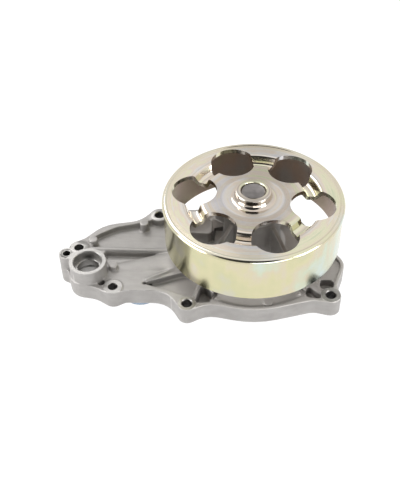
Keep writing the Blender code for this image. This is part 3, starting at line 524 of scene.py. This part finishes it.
def pulley_outline():
    """The pressed sheet's section: over the top from the collar's bore to the lip, and back underneath."""
    bore = SHAFT_R + GAP
    low = WEB_TOP - SHEET
    top = [(bore, low), (bore, COLLAR_TOP - 0.6 * MM), (bore + 0.25 * MM, COLLAR_TOP - 0.15 * MM)]
    top += [(bore + 0.7 * MM, COLLAR_TOP)]
    top += arc((COLLAR_R - 0.7 * MM, COLLAR_TOP - 0.7 * MM), 0.7 * MM, 90, 0, 6)
    top += arc((COLLAR_R + 3.2 * MM, WEB_TOP + 3.2 * MM), 3.2 * MM, 180, 270, 14)
    # Faint step round the plateau, and the groove
    top += [(19.6 * MM, WEB_TOP), (20.0 * MM, WEB_TOP - 0.07 * MM), (20.6 * MM, WEB_TOP - 0.08 * MM)]
    top += arc((33.0 * MM, WEB_TOP - 3.08 * MM), 3.0 * MM, 90, 36, 10)
    top += arc((38.6 * MM, GROOVE_FLOOR + 2.5 * MM), 2.5 * MM, 216, 270, 8)
    top += arc((40.8 * MM, GROOVE_FLOOR + 2.5 * MM), 2.5 * MM, 270, 336, 9)
    top += arc((46.4 * MM, WEB_TOP - 2.0 * MM), 2.0 * MM, 156, 90, 9)
    # The annulus falls away gently towards a shallow crease inside the rounded lip
    for k in range(1, 9):
        share = k / 8
        top.append(((46.4 + 10.2 * share) * MM, WEB_TOP - 0.42 * MM * share ** 2))
    top += arc((57.6 * MM, WEB_TOP - 2.4 * MM), 2.4 * MM, 107, 20, 14)
    outside = [(LIP_R, 54.4 * MM), (LIP_R, 54.1 * MM), (LIP_R - 0.1 * MM, 53.95 * MM)]
    outside += [(BELT_FACE_R + 0.1 * MM, LIP_BOTTOM), (BELT_FACE_R, 53.6 * MM)]
    # Close rows at both ends keep the belt face's shading straight
    outside += [(BELT_FACE_R, 53.5 * MM), (BELT_FACE_R, RIM_BOTTOM + 0.6 * MM)]
    outside += [(BELT_FACE_R, RIM_BOTTOM + 0.5 * MM)]
    outside += arc((BELT_FACE_R - 0.5 * MM, RIM_BOTTOM + 0.5 * MM), 0.5 * MM, -15, -90, 4)
    wall = BELT_FACE_R - SHEET
    inside = arc((wall + 0.5 * MM, RIM_BOTTOM + 0.5 * MM), 0.5 * MM, 270, 180, 4)
    inside += arc((wall - 2.0 * MM, low - 2.4 * MM), 2.0 * MM, 0, 90, 8)
    inside += arc((47.6 * MM, low - 2.0 * MM), 2.0 * MM, 90, 150, 7)
    inside += arc((41.4 * MM, GROOVE_FLOOR - SHEET + 2.5 * MM), 2.5 * MM, 330, 270, 7)
    inside += arc((38.0 * MM, GROOVE_FLOOR - SHEET + 2.5 * MM), 2.5 * MM, 270, 216, 7)
    inside += arc((31.6 * MM, low - 2.5 * MM), 2.5 * MM, 36, 90, 7)
    return top + outside, inside


def finished_pulley():
    film = materials["yellow_zinc"]
    outer, inner = pulley_outline()
    bm = spin_bm(outer + inner, PULLEY_STEPS)
    # The inner faces take the browner zinc with painted shade
    for count, face in enumerate(bm.faces):
        if count // PULLEY_STEPS >= len(outer):
            face.material_index = 1
    cup = build("pulley_finished", bm, (film, materials["shaded_brown_zinc"]))
    cutters = []
    for k in range(PULLEY_HOLES):
        angle = PULLEY_HOLE_PHASE + k * tau / PULLEY_HOLES
        centre = (PULLEY_HOLE_CIRCLE_R * cos(angle), PULLEY_HOLE_CIRCLE_R * sin(angle))
        cutters.append(build("hole", cylinder_bm(centre, PULLEY_HOLE_R, 40 * MM, 62 * MM, 112), (film,)))
    join_or_cut(cup, cutters, "DIFFERENCE")
    place(cup, ["pulley"], "rotor", "yellow_zinc")


# ---------------------------------------------------------------- housing


def raw_casting():
    """The CAD housing with its machined places filled and raised, as it leaves the mould."""
    bm = bmesh.new()
    bm.from_mesh(frame["nodes"]["pump_housing"].data)
    bmesh.ops.remove_doubles(bm, verts=bm.verts, dist=0.001 * MM)
    for vert in bm.verts:
        if vert.co.z < 0.01 * MM:
            vert.co.z = -0.6 * MM
    plugs = [(centre, 5.9 * MM, BOSS_TOP + 0.6 * MM) for centre in bosses.values()]
    plugs.append((BIG_BOSS, 12.25 * MM, BIG_BOSS_TOP + 0.6 * MM))
    plugs.append((LUG, 5.2 * MM, BIG_BOSS_TOP + 0.5 * MM))
    for centre, radius, top in plugs:
        plug = bpy.data.meshes.new("plug")
        plug_bm = cylinder_bm(centre, radius, 0.1 * MM, top, 48)
        bmesh.ops.recalc_face_normals(plug_bm, faces=plug_bm.faces)
        plug_bm.to_mesh(plug)
        plug_bm.free()
        bm.from_mesh(plug)
        bpy.data.meshes.remove(plug)
    return build("pump_housing_finished", bm)


def machining():
    """Cutters for the faces and bores that are machined after casting."""
    cut = (materials["machined_aluminium"],)
    # Hole walls take the material painted dark for the shade inside them
    dark = (materials["shaded_hole_wall"],)
    tools = []
    slab = bmesh.new()
    slab_size = Matrix.Diagonal((300 * MM, 200 * MM, 20 * MM, 1))
    below_face = Matrix.Translation((-30 * MM, 0, -10 * MM))
    bmesh.ops.create_cube(slab, size=1.0, matrix=below_face @ slab_size)
    tools.append(build("engine_face", slab, cut))
    holes = [((x, y), SCREW_HOLE_R, BOSS_TOP) for x, y in bosses.values()]
    holes.append((LUG, LUG_HOLE_R, BIG_BOSS_TOP))
    for centre, radius, top in holes:
        face = [(radius + HOLE_LAND, top), (radius + HOLE_LAND, top + 3 * MM)]
        tools.append(build("spot_face", spin_bm(face, 64, centre, closed=False), cut))
        edge = [(radius - 1 * MM, top - 1.5 * MM), (radius + 0.45 * MM, top + 0.01 * MM)]
        tools.append(build("hole_edge", spin_bm(edge, 64, centre, closed=False), cut))
        tools.append(build("hole", cylinder_bm(centre, radius, -3 * MM, top + 1 * MM), dark))
    shape = [(BIG_BORE_R, -3 * MM), (BIG_BORE_R, 10 * MM), (7.8 * MM, 10.5 * MM), (7.8 * MM, 12.5 * MM)]
    shape += [(BIG_BORE_R, 13 * MM), (BIG_BORE_R, 17.1 * MM), (7.3 * MM, 17.5 * MM)]
    shape += [(COUNTERBORE_R, 17.5 * MM), (COUNTERBORE_R, 22 * MM), (9.9 * MM, BIG_BOSS_TOP)]
    shape += [(13.6 * MM, BIG_BOSS_TOP), (13.6 * MM, 26 * MM)]
    tools.append(build("big_bore", spin_bm(shape, 96, BIG_BOSS, closed=False), cut))
    shape = [(15 * MM, -3 * MM), (15 * MM, 9 * MM), (12.5 * MM, 9 * MM), (12.5 * MM, 12 * MM)]
    shape += [(BEARING_R + GAP, 12 * MM), (BEARING_R + GAP, 46.8 * MM)]
    shape += [(15.8 * MM, 47.3 * MM), (15.8 * MM, 50 * MM)]
    tools.append(build("middle_bore", spin_bm(shape, 96, closed=False), cut))
    tools.append(build("chamber", cylinder_bm((0, 0), CHAMBER_R, -3 * MM, 3 * MM, 128), cut))
    tools.append(build("port_seat", cylinder_bm(PORT, SLEEVE_R + GAP, -3 * MM, 5 * MM, 96), cut))
    return tools


def finished_housing():
    casting = raw_casting()
    casting.data.materials.append(materials["cast_aluminium"])
    remesh = casting.modifiers.new("skin", "REMESH")
    remesh.mode = "VOXEL"
    remesh.voxel_size = 0.45 * MM
    smooth = casting.modifiers.new("fillets", "SMOOTH")
    smooth.factor = 0.5
    smooth.iterations = 9
    apply_modifiers(casting, 180)
    fewer = casting.modifiers.new("fewer", "DECIMATE")
    fewer.ratio = 0.33
    apply_modifiers(casting, 180)
    join_or_cut(casting, machining(), "DIFFERENCE", 40.0)
    place(casting, ["pump_housing"], "housing", "cast_aluminium")


# ---------------------------------------------------------------- shaft and bearing


def ball_groove(height, land_r, outward, pieces=10):
    """The section of a ball groove, from below to above."""
    radius = BALL_R + 0.15 * MM
    side = 1 if outward else -1
    half = acos(side * (land_r - BALL_CIRCLE_R) / radius)
    points = []
    for k in range(pieces + 1):
        angle = -half + 2 * half * k / pieces
        points.append((BALL_CIRCLE_R + side * radius * cos(angle), height + radius * sin(angle)))
    return points


def finished_shaft():
    outline = [(SHAFT_R - 0.5 * MM, SHAFT_BOTTOM), (SHAFT_R, SHAFT_BOTTOM + 0.5 * MM)]
    for row in ("rear", "front"):
        outline += ball_groove(ROW_HEIGHTS[row], SHAFT_R, False)
    outline += [(SHAFT_R, SHAFT_TOP - 0.7 * MM), (SHAFT_R - 0.7 * MM, SHAFT_TOP - 0.1 * MM)]
    outline += [(SHAFT_R - 0.9 * MM, SHAFT_TOP - 0.15 * MM), (0.3 * MM, SHAFT_TOP - 0.15 * MM)]
    bm = spin_bm(outline, 96, closed=False)
    piece = build("pump_shaft_finished", bm, (materials["ground_steel"],))
    place(piece, ["pump_shaft"], "rotor", "ground_steel")


def finished_row(row):
    """A row of balls in its crown cage, which is open on one side."""
    plastic = (materials["cage_polymer"],)
    height = ROW_HEIGHTS[row]
    side = 1 if row == "front" else -1
    ends = sorted((height - side * 1.9 * MM, height + side * 3.8 * MM))
    ring = [(9 * MM, ends[0]), (11.6 * MM, ends[0]), (11.6 * MM, ends[1]), (9 * MM, ends[1])]
    cage = build(row + "_cage_finished", spin_bm(rounded(ring, 0.25 * MM), 112), plastic)
    pockets = []
    for k in range(BALLS):
        angle = k * tau / BALLS
        centre = (BALL_CIRCLE_R * cos(angle), BALL_CIRCLE_R * sin(angle), height)
        pockets.append(build("pocket", sphere_bm(centre, BALL_R + 0.4 * MM, 32, 20), plastic))
        name = f"{row}_ball_{k + 1}"
        ball = sphere_bm(centre, BALL_R, 36, 24)
        piece = build(name + "_finished", ball, (materials["bearing_steel"],), 60)
        place(piece, [name], row + "_row", "bearing_steel")
    join_or_cut(cage, pockets, "DIFFERENCE", 40)
    place(cage, [row + "_cage"], row + "_row", "cage_polymer")


def finished_bearing():
    outline = [(BEARING_LAND_R, BEARING_BOTTOM)]
    for row in ("rear", "front"):
        outline += ball_groove(ROW_HEIGHTS[row], BEARING_LAND_R, True)
    outline += [(BEARING_LAND_R, BEARING_TOP), (BEARING_R, BEARING_TOP), (BEARING_R, BEARING_BOTTOM)]
    turned("bearing_outer_ring", "housing", "bearing_steel", outline, 0.4 * MM)
    for row in ("front", "rear"):
        finished_row(row)
    inner = SHAFT_R + GAP
    seals = {"front_bearing_seal": BEARING_TOP - 1.6 * MM, "rear_bearing_seal": BEARING_BOTTOM + 0.5 * MM}
    for name, bottom in seals.items():
        top = bottom + 1.1 * MM
        outline = [(inner, bottom), (11.9 * MM, bottom), (11.9 * MM, top), (11.0 * MM, top)]
        outline += [(10.7 * MM, top - 0.3 * MM), (9.3 * MM, top - 0.3 * MM), (9.0 * MM, top), (inner, top)]
        turned(name, "housing", "black_rubber", outline, 0.2 * MM)


# ---------------------------------------------------------------- water seal, impeller and port


def finished_water_seal():
    inner = SHAFT_R + GAP
    slinger = [(inner, 9.6 * MM), (inner + 0.8 * MM, 9.6 * MM), (inner + 0.8 * MM, 10.2 * MM)]
    slinger += [(11.6 * MM, 10.2 * MM), (11.9 * MM, 9.8 * MM), (11.9 * MM, 10.8 * MM), (inner, 10.8 * MM)]
    turned("slinger", "rotor", "pressed_steel", slinger, 0.2 * MM)
    outer = 14.7 * MM
    casing = [(9.4 * MM, 8.1 * MM), (outer - 0.6 * MM, 8.1 * MM), (outer - 0.6 * MM, 2.1 * MM)]
    casing += [(18.2 * MM, 2.1 * MM), (18.2 * MM, 2.7 * MM), (outer, 2.7 * MM)]
    casing += [(outer, 8.7 * MM), (9.4 * MM, 8.7 * MM)]
    turned("seal_casing", "housing", "seal_casing_steel", casing, 0.5 * MM)
    bellows = [(9.4, 7.8), (9.4, 5.6), (10.4, 4.2), (9.4, 2.8), (9.4, 1.3)]
    bellows += [(10.6, 1.3), (10.6, 2.4), (11.4, 4.2), (10.6, 6.0), (10.6, 7.8)]
    folds = [(r * MM, z * MM) for r, z in bellows]
    sleeve = turned("seal_bellows", "housing", "black_rubber", folds, 0.6 * MM)
    ring = [(9.4, 1.0), (9.4, -2.4), (11.6, -2.4), (11.6, -1.4), (13.4, -1.2), (13.4, 1.0)]
    turned("seal_ring", "seal_face", "seal_carbon", [(r * MM, z * MM) for r, z in ring], 0.2 * MM)
    mate = [(8.7, -5.6), (13.2, -5.6), (13.2, -3.1), (12.8, -2.7), (9.1, -2.7), (8.7, -3.1)]
    turned("mating_ring", "rotor", "seal_ceramic", [(r * MM, z * MM) for r, z in mate], 0.15 * MM)
    boot = [(8.7, -7.2), (15.0, -7.2), (15.0, -3.6), (13.5, -3.6), (13.5, -5.9), (8.7, -5.9)]
    turned("seat_boot", "rotor", "black_rubber", [(r * MM, z * MM) for r, z in boot], 0.35 * MM)
    spring = place(spring_piece(), ["seal_spring"], "housing", "spring_steel")
    for piece in (sleeve, spring):
        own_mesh(piece)


def spring_piece():
    """Coil spring of 2.5 turns round the bellows."""
    turns, steps, sides = 2.5, 180, 14
    radius, wire, low, high = 12.7 * MM, 0.55 * MM, 2.0 * MM, 7.2 * MM
    bm = bmesh.new()
    rings = []
    for step in range(steps + 1):
        share = step / steps
        angle = turns * tau * share
        outward = Vector((cos(angle), sin(angle), 0))
        middle = outward * radius + Vector((0, 0, low + (high - low) * share))
        ring = []
        for k in range(sides):
            side = tau * k / sides
            point = middle + outward * wire * cos(side) + Vector((0, 0, wire * sin(side)))
            ring.append(bm.verts.new(point))
        rings.append(ring)
    for here, there in zip(rings, rings[1:]):
        for k in range(sides):
            j = (k + 1) % sides
            bm.faces.new((here[k], here[j], there[j], there[k]))
    bm.faces.new(rings[0][::-1])
    bm.faces.new(rings[-1])
    return build("seal_spring_finished", bm, (materials["spring_steel"],), 50)


def vane_bm(index):
    """One backward-curved vane with rounded ends, as an upright strip along a spiral."""
    thick, pieces = 1.5 * MM, 28
    start = index * tau / VANES
    middle = []
    for k in range(pieces + 1):
        share = k / pieces
        radius = 13.5 * MM + (IMPELLER_R - 14.1 * MM) * share
        angle = start - radians(58) * share ** 0.85
        middle.append(Vector((radius * cos(angle), radius * sin(angle))))
    left, right = [], []
    for k, point in enumerate(middle):
        along = (middle[min(pieces, k + 1)] - middle[max(0, k - 1)]).normalized()
        across = Vector((-along.y, along.x)) * thick / 2
        if k in (0, pieces):
            across *= 0.55
        left.append(point + across)
        right.append(point - across)
    bm = bmesh.new()
    face = bm.faces.new([bm.verts.new((p.x, p.y, -18.5 * MM)) for p in right + left[::-1]])
    raised = bmesh.ops.extrude_face_region(bm, geom=[face])["geom"]
    verts = [item for item in raised if isinstance(item, bmesh.types.BMVert)]
    bmesh.ops.translate(bm, vec=(0, 0, 10.3 * MM), verts=verts)
    lower = [e for e in bm.edges if all(v.co.z < -18.4 * MM for v in e.verts)]
    bmesh.ops.bevel(bm, geom=lower, offset=0.3 * MM, segments=3, profile=0.5, affect="EDGES")
    return bm


def finished_impeller():
    grey = (materials["pressed_steel"],)
    disc = [(11 * MM, -9 * MM), (IMPELLER_R, -9 * MM), (IMPELLER_R, -7.5 * MM), (11 * MM, -7.5 * MM)]
    wheel = build("impeller_finished", spin_bm(rounded(disc, 0.35 * MM), 160), grey)
    vanes = [build("vane", vane_bm(k), grey) for k in range(VANES)]
    join_or_cut(wheel, vanes, "UNION", 40)
    place(wheel, ["impeller"], "rotor", "pressed_steel")
    inner = SHAFT_R + GAP
    hub = [(inner, -19.5 * MM), (11.9 * MM, -19.5 * MM), (11.9 * MM, -9.3 * MM), (10.7 * MM, -9.3 * MM)]
    hub += [(10.7 * MM, -7.5 * MM), (inner, -7.5 * MM)]
    turned("impeller_hub", "rotor", "ground_steel", hub, 0.45 * MM)


def finished_port():
    neck = 11.3 * MM
    sleeve = [(10.5 * MM, -5.1 * MM), (SLEEVE_R, -5.1 * MM), (SLEEVE_R, -2.4 * MM), (neck, -2.4 * MM)]
    sleeve += [(neck, 0.2 * MM), (SLEEVE_R, 0.2 * MM), (SLEEVE_R, 4.7 * MM), (10.5 * MM, 4.7 * MM)]
    turned("transfer_sleeve", "housing", "blue_zinc", sleeve, 0.4 * MM, 128, PORT)
    ring = arc((neck + GAP + 0.9 * MM, -1.1 * MM), 0.9 * MM, 0, 345, 23)
    bm = spin_bm(ring, 128, PORT)
    oring = build("sleeve_oring_finished", bm, (materials["black_rubber"],), 60)
    place(oring, ["sleeve_oring"], "housing", "black_rubber")


def finished_body_seal():
    """The moulded seal in the engine face, with rounded shoulders."""
    bm = bmesh.new()
    bm.from_mesh(frame["nodes"]["body_seal"].data)
    bmesh.ops.remove_doubles(bm, verts=bm.verts, dist=0.001 * MM)
    bmesh.ops.dissolve_limit(bm, angle_limit=radians(2), verts=bm.verts, edges=bm.edges)
    corners = [e for e in bm.edges if e.is_manifold and e.calc_face_angle(0) > radians(60)]
    bmesh.ops.bevel(bm, geom=corners, offset=0.6 * MM, segments=4, profile=0.5, affect="EDGES")
    piece = build("body_seal_finished", bm, (materials["moulded_rubber"],), 30)
    place(piece, ["body_seal"], "housing", "moulded_rubber")


# ---------------------------------------------------------------- floor, light and camera


def make_floor():
    """A plain white floor just under the lowest point."""
    bm = bmesh.new()
    bmesh.ops.create_grid(bm, x_segments=1, y_segments=1, size=3.0)
    bmesh.ops.translate(bm, vec=(0, 0, cad_box[0][2] - FLOOR_DROP), verts=bm.verts)
    mat, shader = finish("floor", (0.12, 0.12, 0.12), 0.8, 0.0)
    shader.inputs["Emission Color"].default_value = (1, 1, 1, 1)
    shader.inputs["Emission Strength"].default_value = 0.96
    floor = build("floor", bm, (mat,))


def make_world():
    """A white tent that dims towards the horizon, with a dark card in front and a dimmer gap behind."""
    world = bpy.data.worlds.new("tent")
    bpy.context.scene.world = world
    world.use_nodes = True
    tree = world.node_tree
    toward = node(tree, "TexCoord").outputs["Generated"]
    height = node(tree, "SeparateXYZ", {0: toward}).outputs["Z"]
    tent = spread(tree, height, -0.1, 0.9, 0.8, 1.0)
    azimuth, above = radians(-6), radians(42)
    card = (sin(azimuth) * cos(above), -cos(azimuth) * cos(above), sin(above))
    facing = node(tree, "VectorMath", {0: toward, 1: card}, operation="DOT_PRODUCT").outputs["Value"]
    shade = spread(tree, facing, cos(radians(38)), cos(radians(28)), 1.0, 0.04)
    # Gap between the two soft boxes behind
    away = node(tree, "SeparateXYZ", {0: toward}).outputs["Y"]
    aside = math(tree, "DIVIDE", node(tree, "SeparateXYZ", {0: toward}).outputs["X"], away)
    off_centre = math(tree, "ABSOLUTE", math(tree, "SUBTRACT", aside, 0.01))
    stripe = spread(tree, off_centre, 0.03, 0.11, 0.68, 1.0)
    behind = mix(tree, spread(tree, away, 0.2, 0.4), (1.0, 1.0, 1.0), stripe)
    strength = math(tree, "MULTIPLY", math(tree, "MULTIPLY", tent, shade), behind)
    background = tree.nodes["Background"]
    background.inputs["Color"].default_value = (1.0, 0.995, 0.985, 1.0)
    tree.links.new(strength, background.inputs["Strength"])


def make_light(name, location, target, size, watts):
    light = bpy.data.lights.new(name, "AREA")
    light.shape = "RECTANGLE"
    light.size, light.size_y = size
    light.energy = watts
    obj = bpy.data.objects.new(name, light)
    obj.location = location
    aim = Vector(target) - Vector(location)
    obj.rotation_euler = aim.to_track_quat("-Z", "Y").to_euler()
    bpy.context.scene.collection.objects.link(obj)


def make_camera():
    data = bpy.data.cameras.new("camera")
    data.sensor_width = 36.0
    data.lens = CAMERA_LENS
    obj = bpy.data.objects.new("camera", data)
    obj.location = CAMERA_PLACE
    obj.rotation_euler = Euler([radians(angle) for angle in CAMERA_ANGLES])
    bpy.context.scene.collection.objects.link(obj)
    bpy.context.scene.camera = obj


make_camera()
finished_pulley()
finished_housing()
finished_shaft()
finished_bearing()
finished_water_seal()
finished_impeller()
finished_port()
finished_body_seal()
make_floor()
make_world()
for name, location, target, size, watts in LIGHTS:
    make_light(name, location, target, size, watts)
bpy.context.scene.view_settings.view_transform = "Standard"
